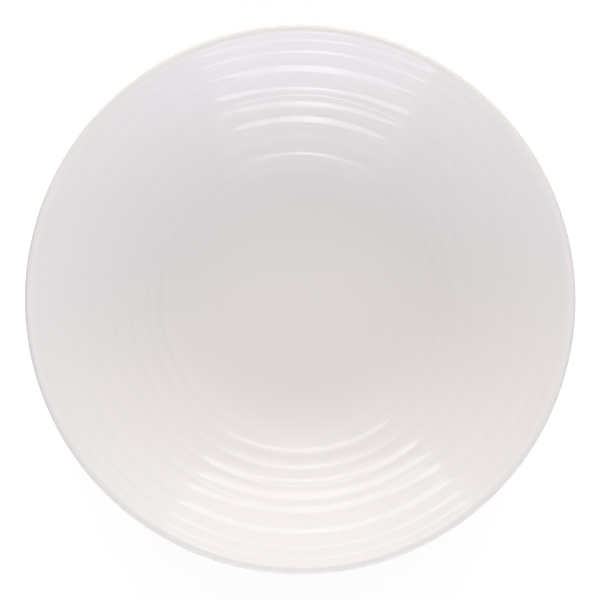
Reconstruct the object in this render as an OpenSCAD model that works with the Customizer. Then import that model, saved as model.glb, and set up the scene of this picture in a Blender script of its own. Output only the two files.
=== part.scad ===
// Coupe soup plate of glazed porcelain, with ringed flutes up its wall.
// Everything is turned about Z from half-sections drawn as [radius, height].
// Z = 0 is the table that the dry foot stands on, and the origin is on the plate's axis.

/* [Plate] */
// Outside diameter over the glazed lip
plate_d = 230; // [205:1:260]
// Thickness of the fired wall, square to it
wall_t = 3.6; // [2.8:0.1:4.6]
// Thickness of the fired floor of the well
floor_t = 4.4; // [3.2:0.1:6]

/* [Lip] */
// Thickness of the full-round lip over its glaze
lip_t = 4.2; // [3.4:0.1:5.4]
// Slope of the wall where it runs into the lip, in degrees
lip_slope = 35; // [31:0.5:38]

/* [Flutes] */
// Width of the rounded crest that ends the innermost flute
inner_crest_w = 1.5; // [1:0.1:2.2]
// Width of the rounded crest nearest to the lip
outer_crest_w = 0.5; // [0.4:0.1:1]

/* [Foot] */
// Outside diameter of the foot where it stands
foot_d = 106; // [98:1:118]
// Width of the foot where it stands
foot_w = 4.6; // [3.8:0.1:6]
// Depth of the recess inside the foot
foot_h = 3; // [2.4:0.1:4]
// Slant of the foot's two sides, in degrees
foot_draft = 12; // [6:1:18]
// Rounding of the two edges that the foot stands on
foot_round = 1.1; // [0.7:0.1:1.3]
// Fillet where the outside of the foot runs into the back
back_fillet = 2.4; // [1.4:0.1:3.2]
// Fillet where the inside of the foot runs into the recess
recess_fillet = 1.2; // [0.7:0.1:1.6]

/* [Glaze] */
// Thickness of the fired glaze
glaze_t = 0.3; // [0.2:0.02:0.4]
// Bare clay left above the foot's rounded edges
dry_margin = 0.4; // [0.2:0.05:0.6]

/* [Hidden] */

// Steps round the plate, along one curve of its back or foot and round its lip
turn_steps = 180;
arc_steps = 4;
lip_steps = 14;
// The most that the face turns from one chord of an arc to the next, in degrees
chord_turn = 2;

plate_r = plate_d / 2;

// Radius of the level floor of the well, as a share of the plate's radius
level_share = 0.3;
// Radius of the crest that ends each flute, from the well outwards, as a share of the plate's radius.
// The last flute ends at the lip.
crest_shares = [0.515, 0.56, 0.625, 0.687, 0.759, 0.839, 0.903, 0.943];
// Slope of the face at the inner edge of each flute, on both sides of its bend and just under its crest, in degrees
cove_angles = [0, 26, 27, 26.5, 26.5, 29, 30.5, 30.5, 30.5];
knee_angles = [15, 26, 24.5, 27.5, 31, 30, 32, 33.5, 34];
bend_angles = [16, 26, 24.5, 31.5, 34, 32.5, 34.8, 34.8, 34.8];
flank_angles = [26, 30, 29, 32, 34.5, 36.5, 36.5, 36.5, lip_slope];
// Where each flute's bend begins and ends, as a share of the flute's width
knee_shares = [0.67, 0.47, 0.22, 0.56, 0.67, 0.22, 0.25, 0.15, 0.15];
bend_shares = [0.71, 0.69, 0.35, 0.86, 0.83, 0.32, 0.42, 0.4, 0.4];

flutes = len(cove_angles);

// The lip is round, about this radius in the clay
lip_r = lip_t / 2 - glaze_t;
lip_at_r = plate_r - lip_t / 2;
lip_start_r = lip_at_r - lip_r * sin(lip_slope);

// The crests narrow evenly from the well outwards
function crest_w(k) = inner_crest_w + (outer_crest_w - inner_crest_w) * k / (flutes - 2);

// Radii at which flute k begins and ends
function flute_start(k) = k == 0 ? level_share * plate_r : crest_shares[k - 1] * plate_r + crest_w(k - 1) / 2;
function flute_end(k) = k == flutes - 1 ? lip_start_r : crest_shares[k] * plate_r - crest_w(k) / 2;

// Four stations of flute k, each a [radius, slope]: its inner edge, both ends of its bend and its outer edge
function flute_stations(k) = let (
        start = flute_start(k),
        end = flute_end(k)
    ) [
        [start, cove_angles[k]],
        [start + (end - start) * knee_shares[k], knee_angles[k]],
        [start + (end - start) * bend_shares[k], bend_angles[k]],
        [end, flank_angles[k]]
    ];

// Stations of the whole face, joined by arcs that share their slope where they meet
stations = [[0, 0], for (k = [0 : flutes - 1]) each flute_stations(k)];

// An arc's chord leans by the mean of its two end slopes, and the sine of its slope grows evenly with the radius
function arc_rise(run, a, b) = run * tan((a + b) / 2);
function arc_slope(a, b, share) = asin(sin(a) + (sin(b) - sin(a)) * share);

face_z = foot_h + floor_t;
station_z = [
    for (i = 0, z = face_z; i < len(stations);
        z = z + (i < len(stations) - 1
            ? arc_rise(stations[i + 1][0] - stations[i][0], stations[i][1], stations[i + 1][1])
            : 0),
        i = i + 1) z
];

// Points of the arc from station i to the next, without its last
function arc_points(i) = let (
        from = stations[i],
        to = stations[i + 1],
        run = to[0] - from[0],
        steps = max(1, ceil(abs(to[1] - from[1]) / chord_turn))
    ) [
        for (j = [0 : steps - 1]) let (share = j / steps)
            [from[0] + run * share,
             station_z[i] + arc_rise(run * share, from[1], arc_slope(from[1], to[1], share))]
    ];

last = len(stations) - 1;
lip_start = [lip_start_r, station_z[last]];
lip_centre = [lip_at_r, lip_start[1] - lip_r * cos(lip_slope)];

// A point on the lip, where the surface has the given slope
function lip_point(slope) = lip_centre + lip_r * [-sin(slope), cos(slope)];

function unit(v) = v / norm(v);
function slope_of(from, to) = atan2(to[1] - from[1], to[0] - from[0]);

// The crest line touches every crest: its points are the outer stations of the flutes, four stations apart
crest_line = [for (k = [0 : flutes - 2]) let (i = 4 * (k + 1)) [stations[i][0], station_z[i]]];
first_knee = [stations[2][0], station_z[2]];
crest_line_ends = [first_knee, each crest_line, lip_start];
function crest_slope(k) = slope_of(crest_line_ends[k], crest_line_ends[k + 2]);

// The back runs parallel to the crest line, one wall away, from the lip in to the foot
foot_out_r = foot_d / 2;
foot_in_r = foot_out_r - foot_w;
foot_lean = tan(foot_draft);
back_anchors = [
    [lip_point(lip_slope - 180), lip_slope],
    for (k = [flutes - 3 : -1 : 0]) let (
            slope = crest_slope(k),
            at = crest_line[k] + wall_t * [sin(slope), -cos(slope)]
        )
        if (at[0] > foot_out_r + at[1] * foot_lean + back_fillet) [at, slope]
];

// Points of a smooth run between two anchors, without its first
function run_points(from, to) = let (
        reach = norm(to[0] - from[0]),
        leave = -reach * [cos(from[1]), sin(from[1])],
        arrive = -reach * [cos(to[1]), sin(to[1])]
    ) [
        for (j = [1 : arc_steps]) let (t = j / arc_steps)
            from[0] * (2 * t ^ 3 - 3 * t ^ 2 + 1) + leave * (t ^ 3 - 2 * t ^ 2 + t)
            + to[0] * (3 * t ^ 2 - 2 * t ^ 3) + arrive * (t ^ 3 - t ^ 2)
    ];

// Points of a round at a corner between the lines to two neighbours, kept within both lines
round_limit_share = 0.9;
function round_points(before, corner, after, radius) = let (
        u = unit(before - corner),
        v = unit(after - corner),
        half = acos(u * v) / 2,
        room = round_limit_share * min(norm(before - corner), norm(after - corner)),
        run = min(radius / tan(half), room),
        r = run * tan(half),
        centre = corner + unit(u + v) * r / sin(half),
        sweep = 180 - 2 * half,
        first = (corner + u * run - centre) / sin(sweep),
        final = (corner + v * run - centre) / sin(sweep)
    ) [
        for (j = [0 : arc_steps]) let (turn = sweep * j / arc_steps)
            centre + first * sin(sweep - turn) + final * sin(turn)
    ];

// Corners of the foot before they are rounded
back_end = back_anchors[len(back_anchors) - 1];
back_lean = tan(back_end[1]);
foot_top_z = (back_end[0][1] + (foot_out_r - back_end[0][0]) * back_lean) / (1 - foot_lean * back_lean);
foot_top = [foot_out_r + foot_top_z * foot_lean, foot_top_z];
foot_out = [foot_out_r, 0];
foot_in = [foot_in_r, 0];
recess_edge = [foot_in_r - foot_h * foot_lean, foot_h];
recess_centre = [0, foot_h];

// Up to this height the glaze is wiped off both sides of the foot
edge_run = foot_round * tan((90 - foot_draft) / 2);
dry_z = edge_run * cos(foot_draft) + dry_margin;
dry_out = [foot_out_r + dry_z * foot_lean, dry_z];
dry_in = [foot_in_r - dry_z * foot_lean, dry_z];

// Glazed line over the face, the lip and the back, down to the wiped foot
coat_line = concat(
    [for (i = [0 : last - 1]) each arc_points(i)],
    [for (j = [0 : lip_steps - 1]) lip_point(lip_slope - 180 * j / lip_steps)],
    [back_anchors[0][0]],
    [for (i = [0 : len(back_anchors) - 2]) each run_points(back_anchors[i], back_anchors[i + 1])],
    round_points(back_end[0], foot_top, dry_out, back_fillet),
    [dry_out]
);

// Bare line round the bottom of the foot
foot_middle = (foot_out + foot_in) / 2;
dry_line = concat(
    round_points(dry_out, foot_out, foot_middle, foot_round),
    round_points(foot_middle, foot_in, dry_in, foot_round)
);

// Glazed line of the recess inside the foot
recess_line = concat(
    [dry_in],
    round_points(dry_in, recess_edge, recess_centre, recess_fillet),
    [recess_centre]
);

// A line moved to its left by a distance, with mitred corners
function left_of(from, to) = unit([from[1] - to[1], to[0] - from[0]]);
function moved_line(line, distance) = [
    for (i = [0 : len(line) - 1]) let (
            before = left_of(line[max(i - 1, 0)], line[max(i, 1)]),
            after = left_of(line[min(i, len(line) - 2)], line[min(i + 1, len(line) - 1)])
        )
        line[i] + distance * (before + after) / (1 + before * after)
];
function reversed(line) = [for (i = [len(line) - 1 : -1 : 0]) line[i]];

module turned(outline) {
    rotate_extrude($fn = turn_steps) polygon(outline);
}

// A skin of glaze that lies on a line of the clay
module skin(line) {
    turned(concat(line, reversed(moved_line(line, glaze_t))));
}

// The fired clay, in one piece with its foot
module plate_body() {
    color("oldlace") turned(concat(coat_line, dry_line, recess_line));
}

// The glaze over the face, the lip and the back
module glaze_coat() {
    color("whitesmoke") skin(coat_line);
}

// The glaze that the wiped foot cuts off from the rest
module recess_glaze() {
    color("whitesmoke") skin(recess_line);
}

plate_body();
glaze_coat();
recess_glaze();
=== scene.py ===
"""Coupe soup plate in white glazed porcelain, seen from above in soft studio light.

The clay and its two patches of glaze are turned as fine meshes. Each stands for the node of the
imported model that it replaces, and its half-section follows the same sizes. Lengths are metres,
angles degrees.
"""

import logging
from dataclasses import dataclass, field
from enum import Enum
from math import acos, asin, atan2, ceil, cos, degrees, hypot, pi, radians, sin, sqrt, tan
from typing import Iterable, Union

import bmesh
import bpy
from mathutils import Matrix, Vector


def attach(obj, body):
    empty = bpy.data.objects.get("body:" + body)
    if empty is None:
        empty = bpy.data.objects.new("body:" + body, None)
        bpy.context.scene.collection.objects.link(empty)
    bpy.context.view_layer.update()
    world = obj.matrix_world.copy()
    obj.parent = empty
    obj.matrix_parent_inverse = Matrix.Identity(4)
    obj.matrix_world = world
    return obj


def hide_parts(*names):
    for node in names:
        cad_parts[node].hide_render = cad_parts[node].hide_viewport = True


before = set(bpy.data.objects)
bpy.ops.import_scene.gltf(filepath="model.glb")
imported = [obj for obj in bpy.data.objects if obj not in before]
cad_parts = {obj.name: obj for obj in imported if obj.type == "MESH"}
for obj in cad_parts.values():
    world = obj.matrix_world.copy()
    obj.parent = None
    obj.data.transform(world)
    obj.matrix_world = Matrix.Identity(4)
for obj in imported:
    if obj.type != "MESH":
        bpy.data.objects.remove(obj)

log = logging.getLogger("soup_plate")

Point = tuple[float, float]
Line = list[Point]
Anchor = tuple[Point, float]
Colour = tuple[float, float, float]
Socket = bpy.types.NodeSocket
Value = Union[Socket, float, tuple[float, ...]]

# How many stations each flute adds to the one on the axis, and which of all is the first knee
FLUTE_STATIONS = 4
FIRST_KNEE = 2
# Points of a turned mesh that lie this near are one point
MERGE_REACH = 1e-7
# Faces that meet at more than this angle keep a sharp edge between them
SHARP_ANGLE = 50.0
# The mesh attribute that tells the glaze where it pools, and where it gets painted shade and
# painted light
POOL_AND_SHADE_MARK = "pooling_and_shade"


class Slot(Enum):
    """The record's material slots."""

    CLAY = "fired_clay"
    GLAZE = "white_glaze"


class Side(Enum):
    """The side of the plate that a lamp stands on, as the sign of its Y."""

    MINUS_Y = -1
    PLUS_Y = 1


class Blend(Enum):
    """How one colour goes with another."""

    MIX = "MIX"
    ADD = "ADD"


class Op(Enum):
    """What a Math node works out."""

    ADD = "ADD"
    SUBTRACT = "SUBTRACT"
    MULTIPLY = "MULTIPLY"
    MULTIPLY_ADD = "MULTIPLY_ADD"
    ABSOLUTE = "ABSOLUTE"
    MINIMUM = "MINIMUM"
    MAXIMUM = "MAXIMUM"


@dataclass(frozen=True)
class Station:
    """A place on the plate's face.

    Attributes:
        radius: how far it lies from the plate's axis.
        slope: of the clay there, rising outwards.
    """

    radius: float
    slope: float


@dataclass(frozen=True)
class Flute:
    """One flute of the wall, between the crests on its two sides.

    Attributes:
        start: radius of its inner edge.
        end: radius of its outer edge.
        cove: slope at its inner edge.
        knee: slope where its bend begins.
        bend: slope where its bend ends.
        flank: slope at its outer edge, just under the next crest.
        knee_share: where the bend begins, as a share of the flute's width.
        bend_share: where the bend ends, as a share of the flute's width.
    """

    start: float
    end: float
    cove: float
    knee: float
    bend: float
    flank: float
    knee_share: float
    bend_share: float

    def stations(self) -> list[Station]:
        """Sets out the places that the arcs of the face join.

        Returns:
            The flute's inner edge, both ends of its bend and its outer edge.
        """
        width = self.end - self.start
        return [
            Station(self.start, self.cove),
            Station(self.start + width * self.knee_share, self.knee),
            Station(self.start + width * self.bend_share, self.bend),
            Station(self.end, self.flank),
        ]


@dataclass(frozen=True)
class PlateSizes:
    """The driving sizes of the plate. Each tuple runs from the well outwards.

    Attributes:
        plate_d: outside diameter over the glazed lip.
        wall: thickness of the fired wall.
        floor: thickness of the fired floor of the well.
        lip: thickness of the full-round lip over its glaze.
        lip_slope: slope of the wall where it runs into the lip.
        inner_crest: width of the crest that ends the innermost flute.
        outer_crest: width of the crest nearest to the lip.
        foot_d: outside diameter of the foot where it stands.
        foot_w: width of the foot where it stands.
        foot_h: depth of the recess inside the foot.
        foot_draft: slant of the foot's two sides.
        foot_round: rounding of the two edges that the foot stands on.
        back_fillet: fillet where the outside of the foot runs into the back.
        recess_fillet: fillet where the inside of the foot runs into the recess.
        glaze: thickness of the fired glaze.
        dry_margin: bare clay left above the foot's rounded edges.
        level_share: radius of the well's level floor, as a share of the plate's radius.
        crest_shares: radius of the crest that ends each flute but the last, as a share of it too.
        cove_angles: slope at each flute's inner edge.
        knee_angles: slope where each flute's bend begins.
        bend_angles: slope where each flute's bend ends.
        flank_angles: slope at each flute's outer edge.
        knee_shares: where each flute's bend begins, as a share of the flute's width.
        bend_shares: where each flute's bend ends, as a share of the flute's width.
    """

    plate_d: float = 0.230
    wall: float = 0.0036
    floor: float = 0.0044
    lip: float = 0.0042
    lip_slope: float = 35.0
    inner_crest: float = 0.0015
    outer_crest: float = 0.0005
    foot_d: float = 0.106
    foot_w: float = 0.0046
    foot_h: float = 0.003
    foot_draft: float = 12.0
    foot_round: float = 0.0011
    back_fillet: float = 0.0024
    recess_fillet: float = 0.0012
    glaze: float = 0.0003
    dry_margin: float = 0.0004
    level_share: float = 0.3
    crest_shares: tuple[float, ...] = (0.515, 0.56, 0.625, 0.687, 0.759, 0.839, 0.903, 0.943)
    cove_angles: tuple[float, ...] = (0, 26, 27, 26.5, 26.5, 29, 30.5, 30.5, 30.5)
    knee_angles: tuple[float, ...] = (15, 26, 24.5, 27.5, 31, 30, 32, 33.5, 34)
    bend_angles: tuple[float, ...] = (16, 26, 24.5, 31.5, 34, 32.5, 34.8, 34.8, 34.8)
    flank_angles: tuple[float, ...] = (26, 30, 29, 32, 34.5, 36.5, 36.5, 36.5, 35)
    knee_shares: tuple[float, ...] = (0.67, 0.47, 0.22, 0.56, 0.67, 0.22, 0.25, 0.15, 0.15)
    bend_shares: tuple[float, ...] = (0.71, 0.69, 0.35, 0.86, 0.83, 0.32, 0.42, 0.4, 0.4)

    @property
    def radius(self) -> float:
        """Radius over the glazed lip."""
        return self.plate_d / 2


@dataclass(frozen=True)
class FootCorners:
    """The foot's corners before they are rounded, and other places on its line.

    Attributes:
        back: the place on the back that the line comes from.
        top: where the outside of the foot meets the back.
        dry_out: where the bare clay begins on the outside.
        outer: outer corner on the table.
        middle: of the face that stands on the table.
        inner: inner corner on the table.
        dry_in: where the bare clay ends on the inside.
        recess: where the inside of the foot meets the recess.
        centre: of the recess, on the axis.
    """

    back: Point
    top: Point
    dry_out: Point
    outer: Point
    middle: Point
    inner: Point
    dry_in: Point
    recess: Point
    centre: Point


def arc_rise(run: float, start: float, end: float) -> float:
    """Height gained along an arc.

    Args:
        run: how far the arc goes outwards.
        start: its slope where it begins.
        end: its slope where it ends.

    Returns:
        The chord's rise, since the chord leans by the mean of the two slopes.
    """
    return run * tan(radians((start + end) / 2))


def unit(x: float, y: float) -> Point:
    """The direction of (x, y), one long."""
    length = hypot(x, y)
    return x / length, y / length


def moved_line(line: Line, distance: float) -> Line:
    """A line moved to its left, with mitred corners.

    Args:
        line: points of (radius, height).
        distance: how far each stretch moves.

    Returns:
        As many points as the line has.
    """
    normals = [unit(a[1] - b[1], b[0] - a[0]) for a, b in zip(line, line[1:])]
    before = [normals[0], *normals]
    after = [*normals, normals[-1]]
    moved: Line = []
    for (r, z), (ax, ay), (bx, by) in zip(line, before, after):
        reach = distance / (1 + ax * bx + ay * by)
        moved.append((r + reach * (ax + bx), z + reach * (ay + by)))
    return moved


@dataclass
class Section:
    """Half-section of the fired clay, as lines of (radius, height) points.

    Attributes:
        sizes: the plate's driving sizes.
        arc_steps: steps along one curve of the back or the foot.
        whole_arc: how far the face turns in as many steps.
        lip_arcs: how many such curves the lip's round counts as.
        stations: of the face, from the axis to the lip. Arcs join them.
        heights: of the stations.
    """

    sizes: PlateSizes
    arc_steps: int = 8
    whole_arc: float = 6.0
    lip_arcs: int = 3
    stations: list[Station] = field(init=False)
    heights: list[float] = field(init=False)

    def __post_init__(self) -> None:
        """Works out the stations of the face and how high each lies."""
        self.stations = [Station(0.0, 0.0)]
        for flute in self.flutes():
            self.stations += flute.stations()
        self.heights = [self.sizes.foot_h + self.sizes.floor]
        for a, b in zip(self.stations, self.stations[1:]):
            rise = arc_rise(b.radius - a.radius, a.slope, b.slope)
            self.heights.append(self.heights[-1] + rise)

    @property
    def lip_r(self) -> float:
        """Radius of the clay's full-round lip."""
        return self.sizes.lip / 2 - self.sizes.glaze

    @property
    def lip_at(self) -> Point:
        """Centre of the lip's round."""
        slope = radians(self.sizes.lip_slope)
        return self.sizes.radius - self.sizes.lip / 2, self.heights[-1] - self.lip_r * cos(slope)

    def flutes(self) -> list[Flute]:
        """Sets out the flutes between the crests, which narrow evenly towards the lip.

        Returns:
            The flutes, from the well outwards.
        """
        s = self.sizes
        crests = [share * s.radius for share in s.crest_shares]
        narrowing = (s.outer_crest - s.inner_crest) / (len(crests) - 1)
        halves = [(s.inner_crest + narrowing * k) / 2 for k in range(len(crests))]
        starts = [s.level_share * s.radius, *(crest + half for crest, half in zip(crests, halves))]
        lip_start = s.radius - s.lip / 2 - self.lip_r * sin(radians(s.lip_slope))
        ends = [*(crest - half for crest, half in zip(crests, halves)), lip_start]
        angles = s.cove_angles, s.knee_angles, s.bend_angles, s.flank_angles
        return [Flute(*row) for row in zip(starts, ends, *angles, s.knee_shares, s.bend_shares)]

    def face_line(self) -> Line:
        """Joins the stations by arcs.

        Returns:
            The face from the axis to the lip, without its last point.
        """
        line: Line = []
        for a, b, z in zip(self.stations, self.stations[1:], self.heights):
            low, high = sin(radians(a.slope)), sin(radians(b.slope))
            turn = abs(b.slope - a.slope)
            steps = max(self.arc_steps // 2, ceil(turn * self.arc_steps / self.whole_arc))
            for i in range(steps):
                share = i / steps
                run = (b.radius - a.radius) * share
                slope = degrees(asin(low + (high - low) * share))
                line.append((a.radius + run, z + arc_rise(run, a.slope, slope)))
        return line

    def lip_point(self, slope: float) -> Point:
        """The point of the lip at which the surface has a slope."""
        r, z = self.lip_at
        return r - self.lip_r * sin(radians(slope)), z + self.lip_r * cos(radians(slope))

    def lip_line(self) -> Line:
        """The lip, round from the face to the back, with both ends."""
        steps = self.arc_steps * self.lip_arcs
        return [self.lip_point(self.sizes.lip_slope - 180 * i / steps) for i in range(steps + 1)]

    def back_anchors(self) -> list[Anchor]:
        """Sets out the back, one wall away from the line that touches every crest.

        Returns:
            Points of the back, each with its slope, from the lip in to the foot.
        """
        s = self.sizes
        face = [(station.radius, z) for station, z in zip(self.stations, self.heights)]
        crests = face[FLUTE_STATIONS:-1:FLUTE_STATIONS]
        ends = [face[FIRST_KNEE], *crests, face[-1]]
        anchors = [(self.lip_point(s.lip_slope - 180), s.lip_slope)]
        for k in range(len(crests) - 2, -1, -1):
            (r0, z0), (r1, z1) = ends[k], ends[k + 2]
            slope = atan2(z1 - z0, r1 - r0)
            r, z = crests[k][0] + s.wall * sin(slope), crests[k][1] - s.wall * cos(slope)
            if r > s.foot_d / 2 + z * tan(radians(s.foot_draft)) + s.back_fillet:
                anchors.append(((r, z), degrees(slope)))
        return anchors

    def run_line(self, start: Anchor, end: Anchor) -> Line:
        """A smooth run of the back between two anchors.

        Args:
            start: the anchor nearer to the lip.
            end: the anchor nearer to the foot.

        Returns:
            Points of the run, without its first.
        """
        (r0, z0), slope0 = start
        (r1, z1), slope1 = end
        reach = hypot(r1 - r0, z1 - z0)
        line: Line = []
        for i in range(1, self.arc_steps + 1):
            t = i / self.arc_steps
            leave, arrive = t**3 - 2 * t**2 + t, t**3 - t**2
            to = 3 * t**2 - 2 * t**3
            pull_r = leave * cos(radians(slope0)) + arrive * cos(radians(slope1))
            pull_z = leave * sin(radians(slope0)) + arrive * sin(radians(slope1))
            r, z = r0 + (r1 - r0) * to - reach * pull_r, z0 + (z1 - z0) * to - reach * pull_z
            line.append((r, z))
        return line

    def round_line(self, before: Point, corner: Point, after: Point, radius: float) -> Line:
        """The round of a corner.

        Args:
            before: the point that the line comes from.
            corner: the sharp corner.
            after: the point that the line goes on to.
            radius: of the round.

        Returns:
            Points from one end of the round to the other.
        """
        ux, uy = unit(before[0] - corner[0], before[1] - corner[1])
        vx, vy = unit(after[0] - corner[0], after[1] - corner[1])
        half = acos(ux * vx + uy * vy) / 2
        run, sweep = radius / tan(half), pi - 2 * half
        mx, my = unit(ux + vx, uy + vy)
        cx, cy = corner[0] + mx * radius / sin(half), corner[1] + my * radius / sin(half)
        ax, ay = corner[0] + ux * run - cx, corner[1] + uy * run - cy
        bx, by = corner[0] + vx * run - cx, corner[1] + vy * run - cy
        line: Line = []
        for i in range(self.arc_steps + 1):
            turn = sweep * i / self.arc_steps
            a, b = sin(sweep - turn) / sin(sweep), sin(turn) / sin(sweep)
            line.append((cx + a * ax + b * bx, cy + a * ay + b * by))
        return line

    def foot_corners(self) -> FootCorners:
        """Works out the foot from its sizes and the end of the back.

        Returns:
            The foot's corners, and the ends of its wiped stretch.
        """
        s = self.sizes
        lean = tan(radians(s.foot_draft))
        out_r, in_r = s.foot_d / 2, s.foot_d / 2 - s.foot_w
        (back_r, back_z), back_slope = self.back_anchors()[-1]
        back_lean = tan(radians(back_slope))
        top_z = (back_z + (out_r - back_r) * back_lean) / (1 - lean * back_lean)
        edge_run = s.foot_round * tan(radians(90 - s.foot_draft) / 2)
        dry_z = edge_run * cos(radians(s.foot_draft)) + s.dry_margin
        return FootCorners(
            back=(back_r, back_z),
            top=(out_r + top_z * lean, top_z),
            dry_out=(out_r + dry_z * lean, dry_z),
            outer=(out_r, 0.0),
            middle=((out_r + in_r) / 2, 0.0),
            inner=(in_r, 0.0),
            dry_in=(in_r - dry_z * lean, dry_z),
            recess=(in_r - s.foot_h * lean, s.foot_h),
            centre=(0.0, s.foot_h),
        )

    def coat_line(self) -> Line:
        """Joins the face, the lip and the back.

        Returns:
            The glazed line from the axis down to the wiped line round the outside of the foot.
        """
        foot = self.foot_corners()
        anchors = self.back_anchors()
        line = self.face_line() + self.lip_line()
        for start, end in zip(anchors, anchors[1:]):
            line += self.run_line(start, end)
        line += self.round_line(foot.back, foot.top, foot.dry_out, self.sizes.back_fillet)
        return [*line, foot.dry_out]

    def dry_line(self) -> Line:
        """Rounds the two edges that the foot stands on.

        Returns:
            The bare clay round the bottom of the foot, between its two wiped lines.
        """
        foot = self.foot_corners()
        radius = self.sizes.foot_round
        outer = self.round_line(foot.dry_out, foot.outer, foot.middle, radius)
        inner = self.round_line(foot.middle, foot.inner, foot.dry_in, radius)
        return outer + inner

    def recess_line(self) -> Line:
        """Fills the corner of the recess inside the foot.

        Returns:
            The glazed line of the recess, from its wiped line to the axis.
        """
        foot = self.foot_corners()
        radius = self.sizes.recess_fillet
        fillet = self.round_line(foot.dry_in, foot.recess, foot.centre, radius)
        return [foot.dry_in, *fillet, foot.centre]

    def clay_outline(self) -> Line:
        """The whole clay, from the axis on its face to the axis in its recess."""
        return self.coat_line() + self.dry_line() + self.recess_line()


def skin_outline(fine: Line, coarse: Line, thickness: float, axis_first: bool) -> Line:
    """Outline of a skin of glaze, open where it meets the axis.

    Args:
        fine: the clay's line under the glaze, which gives the glaze's own surface.
        coarse: the same line with fewer points, on which the glaze lies.
        thickness: of the glaze.
        axis_first: whether the lines begin on the axis, and not end there.

    Returns:
        The outline from the axis back to the axis.
    """
    outer = moved_line(fine, thickness)
    if axis_first:
        return outer + coarse[::-1]
    return coarse[::-1] + outer


def in_scene(name: str, data: bpy.types.ID) -> bpy.types.Object:
    """Puts an object into the scene.

    Args:
        name: of the new object.
        data: its mesh, lamp or camera.

    Returns:
        The new object, at the origin.
    """
    obj = bpy.data.objects.new(name, data)
    bpy.context.scene.collection.objects.link(obj)
    return obj


def from_bmesh(name: str, bm: bmesh.types.BMesh) -> bpy.types.Object:
    """Makes an object of a bmesh, which is freed.

    Args:
        name: of the new object and its mesh.
        bm: the finished bmesh.

    Returns:
        The new object.
    """
    mesh = bpy.data.meshes.new(name)
    bm.to_mesh(mesh)
    bm.free()
    return in_scene(name, mesh)


def turned_mesh(name: str, outline: Line, steps: int) -> bpy.types.Object:
    """Turns an outline about the plate's axis.

    Args:
        name: of the new piece.
        outline: (radius, height) points whose two ends lie on the axis.
        steps: round the whole turn.

    Returns:
        A closed, smooth piece with its faces outwards.
    """
    bm = bmesh.new()
    verts = [bm.verts.new((r, 0.0, z)) for r, z in outline]
    edges = [bm.edges.new(pair) for pair in zip(verts, verts[1:])]
    bmesh.ops.spin(
        bm, geom=verts + edges, cent=(0, 0, 0), axis=(0, 0, 1), dvec=(0, 0, 0), angle=2 * pi,
        steps=steps, use_merge=True, use_duplicate=False,
    )
    bmesh.ops.remove_doubles(bm, verts=bm.verts, dist=MERGE_REACH)
    bmesh.ops.recalc_face_normals(bm, faces=bm.faces)
    piece = from_bmesh(name, bm)
    piece.data.shade_smooth()
    piece.data.set_sharp_from_angle(angle=radians(SHARP_ANGLE))
    return piece


class NodeDesk:
    """A node tree with short ways to add and join its nodes."""

    def __init__(self, tree: bpy.types.NodeTree) -> None:
        """Starts from an empty tree."""
        self.tree = tree
        tree.nodes.clear()

    def add(
        self, kind: str, inputs: dict[str | int, Value] | None = None, **settings: object
    ) -> bpy.types.Node:
        """Adds a node.

        Args:
            kind: its type, without the words ShaderNode.
            inputs: a number, colour or socket for each named or numbered input.
            settings: the node's own properties.

        Returns:
            The new node.
        """
        node = self.tree.nodes.new("ShaderNode" + kind)
        for name, value in settings.items():
            setattr(node, name, value)
        for name, value in (inputs or {}).items():
            if isinstance(value, Socket):
                self.tree.links.new(value, node.inputs[name])
            else:
                node.inputs[name].default_value = value
        return node

    def math(self, op: Op, *values: Value) -> Socket:
        """A Math node's result."""
        return self.add("Math", dict(enumerate(values)), operation=op.value).outputs[0]

    def map(self, value: Socket, low: float, high: float, to_low: float, to_high: float) -> Socket:
        """Maps a value smoothly from one range to another.

        Args:
            value: the value.
            low: where the first range begins.
            high: where it ends.
            to_low: the result at low, and beyond it.
            to_high: the result at high, and beyond it.

        Returns:
            The mapped value.
        """
        inputs = {
            "Value": value, "From Min": low, "From Max": high, "To Min": to_low, "To Max": to_high,
        }
        return self.add("MapRange", inputs, interpolation_type="SMOOTHSTEP").outputs["Result"]

    def mix(self, share: Value, a: Value, b: Value, blend: Blend = Blend.MIX) -> Socket:
        """Mixes two colours.

        Args:
            share: how far the mix goes to the second colour, up to 1.
            a: the first colour.
            b: the second colour.
            blend: the way of mixing.

        Returns:
            The mixed colour.
        """
        node = self.add("Mix", {"Factor": share}, data_type="RGBA", blend_type=blend.value)
        for place, value in (("A", a), ("B", b)):
            socket = next(s for s in node.inputs if s.name == place and s.type == "RGBA")
            if isinstance(value, Socket):
                self.tree.links.new(value, socket)
            else:
                socket.default_value = (*value, 1.0)
        return next(s for s in node.outputs if s.type == "RGBA")

    def noise(self, place: Socket, size: float, detail: float) -> Socket:
        """Noise from 0 to 1, with blotches of about a size."""
        inputs = {"Vector": place, "Scale": 1 / size, "Detail": detail}
        return self.add("TexNoise", inputs).outputs["Fac"]

    def bump(self, height: Socket, depth: float) -> Socket:
        """A normal that shows a height as deep as told."""
        inputs = {"Height": height, "Distance": depth, "Strength": 1.0}
        return self.add("Bump", inputs).outputs["Normal"]

    def seen(self) -> Socket:
        """Tells rays that show a thing from rays that light one.

        Returns:
            1 for a ray from the camera, off gloss or through glass, and 0 for any other.
        """
        rays = self.add("LightPath").outputs
        direct = self.math(Op.MAXIMUM, rays["Is Camera Ray"], rays["Is Transmission Ray"])
        return self.math(Op.MAXIMUM, direct, rays["Is Glossy Ray"])


def new_material(name: str) -> tuple[bpy.types.Material, NodeDesk]:
    """Starts a node material.

    Args:
        name: of the material.

    Returns:
        The empty material, and a desk for its nodes.
    """
    material = bpy.data.materials.new(name)
    material.use_nodes = True
    return material, NodeDesk(material.node_tree)


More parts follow.
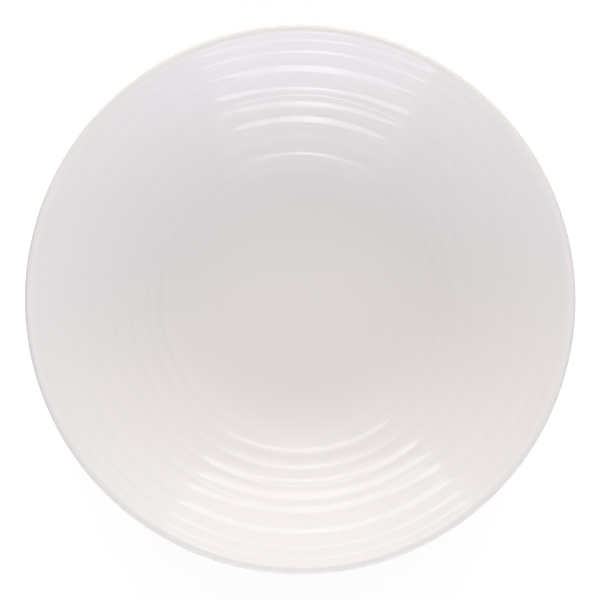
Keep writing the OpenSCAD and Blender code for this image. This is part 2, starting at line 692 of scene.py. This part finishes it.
@dataclass(frozen=True)
class PorcelainGlaze:
    """Glossy white glaze, greyer in the coves and warmer under the crests.

    Both tones are partly the glaze pooling and thinning, and partly painted shade in the coves and
    painted light under the crests.

    Attributes:
        name: of the material.
        tone: its colour at its usual depth.
        pooled_and_shaded_tone: its colour in the coves, greyer for pooled glaze and for painted
            shade, and the colour of its blotches.
        thin_and_lit_tone: its colour under the crests, warmer for thin glaze and for painted light.
        speck_tone: colour of its pin specks.
        roughness: the least and the most.
        ior: index of refraction, which sets how strongly it mirrors.
        cloud_size: of its faint blotches.
        cloud_detail: how many times the blotches break up.
        cloud_tones: levels of the blotches between which the colour changes.
        cloud_share: how far a blotch goes to the pooled colour.
        cloud_gloss: levels of the blotches between which the roughness changes.
        peel_size: of its slight waviness.
        peel_detail: how many times the waviness breaks up.
        peel_depth: of the waviness.
        speck_core: radius within which a speck is at its darkest.
        speck_edge: radius at which it has faded.
        speck_share: how far it goes to its own colour.
    """

    name: str = "white_glaze"
    tone: Colour = (0.80, 0.765, 0.765)
    pooled_and_shaded_tone: Colour = (0.789, 0.755, 0.755)
    thin_and_lit_tone: Colour = (0.806, 0.771, 0.769)
    speck_tone: Colour = (0.42, 0.40, 0.40)
    roughness: tuple[float, float] = (0.0105, 0.0195)
    ior: float = 1.5
    cloud_size: float = 0.045
    cloud_detail: float = 3.0
    cloud_tones: tuple[float, float] = (0.35, 0.65)
    cloud_share: float = 0.3
    cloud_gloss: tuple[float, float] = (0.3, 0.7)
    peel_size: float = 0.008
    peel_detail: float = 1.0
    peel_depth: float = 0.000004
    speck_core: float = 0.0001
    speck_edge: float = 0.0005
    speck_share: float = 0.22

    def make(self, specks: Iterable[Point]) -> bpy.types.Material:
        """Builds the material.

        Args:
            specks: places of the glaze's pin specks in plan.

        Returns:
            The material.
        """
        material, desk = new_material(self.name)
        place = desk.add("TexCoord").outputs["Object"]
        pooling_and_shade = desk.add("Attribute", attribute_name=POOL_AND_SHADE_MARK).outputs["Fac"]
        clouds = desk.noise(place, self.cloud_size, self.cloud_detail)
        # Painted shade greys each cove and painted light warms the flank under each crest, on top
        # of the glaze's pooling and thinning.
        tone = desk.mix(desk.map(pooling_and_shade, 0.0, 1.0, 0.0, 1.0), self.tone, self.pooled_and_shaded_tone)
        tone = desk.mix(desk.map(pooling_and_shade, 0.0, -1.0, 0.0, 1.0), tone, self.thin_and_lit_tone)
        clouding = desk.map(clouds, *self.cloud_tones, 0.0, self.cloud_share)
        tone = desk.mix(clouding, tone, self.pooled_and_shaded_tone)
        tone = desk.mix(self.speckling(desk, place, specks), tone, self.speck_tone)
        gloss = desk.map(clouds, *self.cloud_gloss, *self.roughness)
        normal = desk.bump(desk.noise(place, self.peel_size, self.peel_detail), self.peel_depth)
        inputs = {"Base Color": tone, "Roughness": gloss, "IOR": self.ior, "Normal": normal}
        shader = desk.add("BsdfPrincipled", inputs)
        desk.add("OutputMaterial", {"Surface": shader.outputs[0]})
        return material

    def speckling(self, desk: NodeDesk, place: Socket, specks: Iterable[Point]) -> Socket:
        """Finds how near the nearest speck is, in plan.

        Args:
            desk: of the material.
            place: the point of the surface.
            specks: places of the specks.

        Returns:
            How far the colour goes to the specks' own.
        """
        flat = {0: place, 1: (1.0, 1.0, 0.0)}
        plan = desk.add("VectorMath", flat, operation="MULTIPLY").outputs[0]
        nearest: Value = 1.0
        for x, y in specks:
            ends = {0: plan, 1: (x, y, 0.0)}
            apart = desk.add("VectorMath", ends, operation="DISTANCE").outputs["Value"]
            nearest = desk.math(Op.MINIMUM, nearest, apart)
        return desk.map(nearest, self.speck_core, self.speck_edge, self.speck_share, 0.0)


@dataclass(frozen=True)
class BiscuitClay:
    """Bare fired clay, matt and very slightly grainy.

    Attributes:
        name: of the material.
        tone: its colour.
        grain_tone: colour of its darkest grain.
        roughness: the same all over.
        grain_size: of its grain.
        grain_detail: how many times the grain breaks up.
        grain_tones: levels of the grain between which the colour changes.
        grain_depth: how deep the grain lies.
    """

    name: str = "fired_clay"
    tone: Colour = (0.78, 0.74, 0.68)
    grain_tone: Colour = (0.70, 0.655, 0.59)
    roughness: float = 0.75
    grain_size: float = 0.0006
    grain_detail: float = 4.0
    grain_tones: tuple[float, float] = (0.35, 0.7)
    grain_depth: float = 0.00003

    def make(self) -> bpy.types.Material:
        """Builds the material.

        Returns:
            The material.
        """
        material, desk = new_material(self.name)
        place = desk.add("TexCoord").outputs["Object"]
        grain = desk.noise(place, self.grain_size, self.grain_detail)
        tone = desk.mix(desk.map(grain, *self.grain_tones, 0.0, 1.0), self.tone, self.grain_tone)
        normal = desk.bump(grain, self.grain_depth)
        inputs = {"Base Color": tone, "Roughness": self.roughness, "Normal": normal}
        shader = desk.add("BsdfPrincipled", inputs)
        desk.add("OutputMaterial", {"Surface": shader.outputs[0]})
        return material


@dataclass
class SoupPlate:
    """The plate: its clay, the glaze over face and back, and the glaze in the foot's recess.

    Attributes:
        sizes: the plate's driving sizes.
        turn_steps: steps round the plate.
        clay_steps: steps along one curve of the clay, most of which lies under the glaze.
        well_fade: how late the well's slope goes over to the thin glaze's colour with its painted
            light, as a power.
        specks: places of pin specks in the glaze, in plan.
    """

    sizes: PlateSizes = PlateSizes()
    turn_steps: int = 192
    clay_steps: int = 2
    well_fade: int = 4
    specks: tuple[Point, ...] = (
        (-0.0356, 0.0819), (0.0356, 0.0663), (0.0575, 0.0358), (0.0627, 0.011),
        (-0.0308, 0.0402), (-0.0908, 0.0083), (-0.0924, -0.0302),
    )

    def build(self) -> list[bpy.types.Object]:
        """Builds and dresses the three pieces, and puts each on the node that it stands for.

        Returns:
            The clay, the glaze over face and back, and the glaze in the recess.
        """
        fine, coarse = Section(self.sizes), Section(self.sizes, arc_steps=self.clay_steps)
        glaze, t = PorcelainGlaze().make(self.specks), self.sizes.glaze
        clay = turned_mesh("clay_body", coarse.clay_outline(), self.turn_steps)
        self.dress(clay, BiscuitClay().make(), "plate_body")
        coat_outline = skin_outline(fine.coat_line(), coarse.coat_line(), t, True)
        coat = turned_mesh("face_and_back_glaze", coat_outline, self.turn_steps)
        # Marks the coves for painted shade and the flanks under the crests for painted light, along
        # with the glaze's pooling.
        self.mark_pooling_and_shade(coat, fine)
        self.dress(coat, glaze, "glaze_coat")
        patch_outline = skin_outline(fine.recess_line(), coarse.recess_line(), t, False)
        patch = turned_mesh("foot_recess_glaze", patch_outline, self.turn_steps)
        self.dress(patch, glaze, "recess_glaze")
        return [clay, coat, patch]

    def dress(
        self, piece: bpy.types.Object, material: bpy.types.Material, node: str
    ) -> None:
        """Gives a piece its finish and its place in the frame.

        Args:
            piece: the piece.
            material: its finish.
            node: the CAD node that it stands for.
        """
        piece.data.materials.append(material)
        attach(piece, "root")
        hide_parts(node)

    def mark_pooling_and_shade(self, piece: bpy.types.Object, section: Section) -> None:
        """Marks where glaze pools, from 1 in a cove through 0 to -1 under the next crest.

        The greyer end also stands for painted shade in the coves, and the lighter end for painted
        light under the crests.

        The well's floor has 0.

        Args:
            piece: the glaze over face and back.
            section: the section that it was turned from.
        """
        well, *wall = section.flutes()
        marks = piece.data.attributes.new(POOL_AND_SHADE_MARK, "FLOAT", "POINT")
        values = []
        for vertex in piece.data.vertices:
            r = hypot(vertex.co.x, vertex.co.y)
            if r <= well.end:
                share = (r - well.start) / (well.end - well.start)
                values.append(-max(0.0, share) ** self.well_fade)
                continue
            flute = next((f for f in wall if r <= f.end), wall[-1])
            share = (r - flute.start) / (flute.end - flute.start)
            values.append(min(1.0, max(-1.0, 1.0 - 2 * share)))
        marks.data.foreach_set("value", values)


@dataclass(frozen=True)
class StripSoftbox:
    """A long softbox beside the plate, level along X and aimed at the plate.

    Attributes:
        name: of the lamp.
        side: of the plate.
        zenith: how far from straight up it stands, seen from the plate.
        distance: from the plate's middle.
        centre_x: how far its middle is moved along X.
        length: along X.
        height: of its bright band.
        roll: how far its +X end hangs lower.
        radiance: how bright its core is, where 1 is white.
        shelf_share: of the band's height, along its upper edge, that is dimmer.
        shelf_level: how bright that part is in the middle, as a share of the rest.
        shoulder_level: how bright the band is beside its core, as a share of the core.
        end_level: how bright its two ends are, as a share of the core.
        tint: its colour.
        cut_start: how far up the band its ends begin to be cut back, as a share of its height.
        upper_share: how long the band's upper edge is, as a share of the length.
        glow_height: of the whole lamp, with the dim glow above and below the band.
        glow_level: how bright the glow is, as a share of the core.
        core_share: of the lamp's half length, over which the core fades.
        shelf_left: how much of the shelf's dimming is left at the two ends.
        edge_share: of the band's height, over which each edge is soft. Its ends are as soft, as a
            share of its half length.
    """

    name: str
    side: Side
    zenith: float
    distance: float
    centre_x: float
    length: float
    height: float
    roll: float
    radiance: float
    shelf_share: float
    shelf_level: float
    shoulder_level: float
    end_level: float
    tint: Colour
    cut_start: float
    upper_share: float
    glow_height: float
    glow_level: float
    core_share: float = 0.42
    shelf_left: float = 0.5
    edge_share: float = 0.06

    def build(self, lip_z: float) -> None:
        """Makes the lamp.

        Args:
            lip_z: height of the plate's lip, which the lamp is aimed at.
        """
        lamp = bpy.data.lights.new(self.name, "AREA")
        self.shape_light(lamp)
        lamp.shape = "RECTANGLE"
        lamp.size = self.length
        lamp.size_y = self.glow_height
        lamp.color = self.tint
        lamp.energy = self.radiance * self.length * self.glow_height * pi
        obj = in_scene(self.name, lamp)
        sign = self.side.value
        tilt, roll = radians(self.zenith), radians(sign * self.roll)
        place = Vector((0.0, sign * sin(tilt), cos(tilt))) * self.distance
        obj.location = place + Vector((self.centre_x, 0.0, lip_z))
        aim = Matrix.Rotation(-sign * tilt, 4, "X") @ Matrix.Rotation(roll, 4, "Z")
        obj.rotation_euler = aim.to_euler()
        obj.visible_camera = False

    def shape_light(self, lamp: bpy.types.Light) -> None:
        """Gives the lamp its band: brightest in its core, with soft edges and ends.

        A dimmer shelf lies along the band's upper edge and is less dim towards both ends. Higher up
        the band, its ends are cut back.

        Args:
            lamp: the lamp.
        """
        lamp.use_nodes = True
        desk = NodeDesk(lamp.node_tree)
        place = desk.add("SeparateXYZ", {0: desk.add("NewGeometry").outputs["Parametric"]}).outputs
        off = desk.math(Op.ABSOLUTE, desk.math(Op.MULTIPLY_ADD, place["X"], 2.0, -1.0))
        stretch = -self.side.value * self.glow_height / self.height
        rise = desk.math(Op.MULTIPLY_ADD, place["Y"], stretch, 0.5 - stretch / 2)
        along = self.level_along(desk, off)
        soft, shelf_from = self.edge_share, 1 - self.shelf_share
        dimming = 1 - self.shelf_level
        depth = desk.map(off, 0.0, 1.0, dimming, dimming * self.shelf_left)
        on_shelf = desk.map(rise, shelf_from - soft, shelf_from + soft, 0.0, 1.0)
        shelf = desk.math(Op.SUBTRACT, 1.0, desk.math(Op.MULTIPLY, on_shelf, depth))
        upper = desk.map(rise, 1 - soft, 1.0, 1.0, 0.0)
        lower = desk.map(rise, 0.0, soft, 0.0, 1.0)
        cut = (1 - self.upper_share) / (1 - self.cut_start)
        over = desk.math(Op.MAXIMUM, desk.math(Op.SUBTRACT, rise, self.cut_start), 0.0)
        room = desk.math(Op.SUBTRACT, desk.math(Op.MULTIPLY_ADD, over, -cut, 1.0), off)
        ends = desk.map(room, 0.0, soft, 0.0, 1.0)
        edges = desk.math(Op.MULTIPLY, upper, lower)
        band = desk.math(Op.MULTIPLY, desk.math(Op.MULTIPLY, shelf, ends), edges)
        level = desk.math(Op.MAXIMUM, desk.math(Op.MULTIPLY, along, band), self.glow_level)
        glow = desk.add("Emission", {"Strength": level})
        desk.add("OutputLight", {"Surface": glow.outputs[0]})

    def level_along(self, desk: NodeDesk, off: Socket) -> Socket:
        """Fades the core into the shoulders, and the shoulders into the ends.

        Args:
            desk: of the lamp.
            off: how far along the lamp, from 0 in its middle to 1 at its ends.

        Returns:
            The level there, as a share of the core's.
        """
        growth = self.end_level - self.shoulder_level
        square = desk.math(Op.MULTIPLY, off, off)
        shoulder = desk.math(Op.MULTIPLY_ADD, square, growth, self.shoulder_level)
        core = desk.map(off, 0.0, self.core_share, 1 - self.shoulder_level, 0.0)
        return desk.math(Op.ADD, shoulder, core)


@dataclass(frozen=True)
class Studio:
    """White surroundings, two strip softboxes and the camera above the plate.

    The surroundings light the plate from each direction by how far it points along an axis, where
    1 is straight along it.

    Attributes:
        cool_strip: the narrow lamp on the -Y side.
        warm_strip: the wide lamp on the +Y side.
        ambient: light from all round, which dims towards both ends of X.
        cool_side: light added from the -Y side.
        warm_side: light added from the +Y side.
        right_side: light added from the +X side.
        side_start: how far along Y a direction points where a side light begins.
        horizon: how far along Z a direction points where the side lights are full.
        cool_low: share of the cool side light that is there down to the horizon.
        low_top: how far along Z a direction points where that share has faded.
        floor_size: side of the floor.
        floor_tone: its colour, which takes the plate's shadow.
        floor_lift: light that it adds where it is seen, up to white.
        camera_distance: from the middle of the lip.
        camera_lean: how far the camera leans from straight above, along X and along Y.
        rim_px: radius of the lip in the photograph, in pixels.
        axis_px: where the plate's axis passes the lip's height, in pixels.
        image_px: the photograph's width and height, in pixels.
        sensor: width of the camera's film, in millimetres.
    """

    cool_strip: StripSoftbox = StripSoftbox(
        name="cool_strip", side=Side.MINUS_Y, zenith=52.3, distance=1.10, centre_x=-0.035,
        length=1.0, height=0.142, roll=2.4, radiance=4.6, shelf_share=0.25, shelf_level=0.35,
        shoulder_level=0.5, end_level=0.72, tint=(0.96, 0.93, 1.0), cut_start=0.2,
        upper_share=0.6, glow_height=0.45, glow_level=0.10,
    )
    warm_strip: StripSoftbox = StripSoftbox(
        name="warm_strip", side=Side.PLUS_Y, zenith=54.8, distance=1.10, centre_x=-0.05,
        length=1.29, height=0.2, roll=3.1, radiance=2.42, shelf_share=0.333, shelf_level=0.25,
        shoulder_level=0.7, end_level=1.0, tint=(1.0, 0.98, 0.95), cut_start=0.4,
        upper_share=0.75, glow_height=0.2, glow_level=0.0,
    )
    ambient: Colour = (0.501, 0.466, 0.447)
    cool_side: Colour = (4.27, 4.44, 4.83)
    warm_side: Colour = (3.37, 3.47, 3.35)
    right_side: Colour = (0.102, 0.111, 0.139)
    side_start: float = 0.45
    horizon: float = 0.12
    cool_low: float = 0.595
    low_top: float = 0.45
    floor_size: float = 6.0
    floor_tone: Colour = (0.25, 0.25, 0.25)
    floor_lift: float = 0.82
    camera_distance: float = 1.10
    camera_lean: Point = (-1.6, -2.8)
    rim_px: float = 275.4
    axis_px: Point = (300.5, 297.7)
    image_px: float = 600.0
    sensor: float = 36.0

    def build(self, plate: SoupPlate) -> None:
        """Makes the surroundings and sets the camera.

        Args:
            plate: the plate that they are set round.
        """
        lip_z = Section(plate.sizes).lip_at[1]
        for strip in (self.cool_strip, self.warm_strip):
            strip.build(lip_z)
        self.build_world()
        self.build_floor()
        self.build_camera(plate, lip_z)

    def build_world(self) -> None:
        """White to the camera and to reflections. To the plate, a room with two wide side lights.

        The cool one, from -Y, also reaches down to the horizon. The room dims towards both ends
        of X, and a little light is added from +X.
        """
        world = bpy.data.worlds.new("white_room")
        world.use_nodes = True
        bpy.context.scene.world = world
        desk = NodeDesk(world.node_tree)
        toward = desk.add("SeparateXYZ", {0: desk.add("TexCoord").outputs["Generated"]}).outputs
        above = desk.map(toward["Z"], 0.0, self.horizon, 0.0, 1.0)
        low = desk.map(toward["Z"], 0.0, self.low_top, self.cool_low, 0.0)
        above_and_low = desk.math(Op.MULTIPLY_ADD, above, 1 - self.cool_low, low)
        to_warm = desk.map(toward["Y"], self.side_start, 1.0, 0.0, 1.0)
        to_cool = desk.map(toward["Y"], -self.side_start, -1.0, 0.0, 1.0)
        warm = desk.math(Op.MULTIPLY, to_warm, above)
        cool = desk.math(Op.MULTIPLY, to_cool, above_and_low)
        right = desk.map(toward["X"], 0.0, 1.0, 0.0, 1.0)
        to_ends = desk.math(Op.MULTIPLY, toward["X"], toward["X"])
        light = desk.mix(to_ends, self.ambient, (0.0, 0.0, 0.0))
        light = desk.mix(warm, light, self.warm_side, Blend.ADD)
        light = desk.mix(cool, light, self.cool_side, Blend.ADD)
        light = desk.mix(right, light, self.right_side, Blend.ADD)
        colour = desk.mix(desk.seen(), light, (1.0, 1.0, 1.0))
        background = desk.add("Background", {"Color": colour, "Strength": 1.0})
        desk.add("OutputWorld", {"Surface": background.outputs[0]})

    def build_floor(self) -> None:
        """A plain white floor that shows the plate's soft shadow."""
        bm = bmesh.new()
        bmesh.ops.create_grid(bm, x_segments=1, y_segments=1, size=self.floor_size / 2)
        floor = from_bmesh("floor", bm)
        material, desk = new_material("pale_floor")
        matt = desk.add("BsdfDiffuse", {"Color": (*self.floor_tone, 1.0)})
        strength = desk.math(Op.MULTIPLY, desk.seen(), self.floor_lift)
        lift = desk.add("Emission", {"Color": (1.0, 1.0, 1.0, 1.0), "Strength": strength})
        both = desk.add("AddShader", {0: matt.outputs[0], 1: lift.outputs[0]})
        desk.add("OutputMaterial", {"Surface": both.outputs[0]})
        floor.data.materials.append(material)

    def build_camera(self, plate: SoupPlate, lip_z: float) -> None:
        """Looks down on the plate from a little to -X and -Y, framed as the photograph is.

        Args:
            plate: the plate.
            lip_z: height of its lip, which is as wide in the picture as in the photograph.
        """
        data = bpy.data.cameras.new("camera")
        data.sensor_width = self.sensor
        focal_px = self.rim_px * self.camera_distance / plate.sizes.radius
        data.lens = focal_px * self.sensor / self.image_px
        middle_px = (self.image_px - 1) / 2
        data.shift_x = (middle_px - self.axis_px[0]) / self.image_px
        data.shift_y = (self.axis_px[1] - middle_px) / self.image_px
        lean_x, lean_y = (sin(radians(lean)) for lean in self.camera_lean)
        back = Vector((lean_x, lean_y, sqrt(1 - lean_x**2 - lean_y**2)))
        across = Vector((0.0, 1.0, 0.0)).cross(back).normalized()
        turn = Matrix((across, back.cross(across), back)).transposed()
        camera = in_scene("camera", data)
        camera.location = Vector((0.0, 0.0, lip_z)) + back * self.camera_distance
        camera.rotation_euler = turn.to_euler()
        bpy.context.scene.camera = camera


def main() -> None:
    """Builds the plate and the studio."""
    logging.basicConfig(level=logging.INFO, format="%(name)s: %(message)s")
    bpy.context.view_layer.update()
    plate = SoupPlate()
    for piece in plate.build():
        log.info("%s: %d faces", piece.name, len(piece.data.polygons))
    Studio().build(plate)
    bpy.context.scene.view_settings.view_transform = "Standard"
    bpy.context.view_layer.update()


if __name__ == "__main__":
    main()
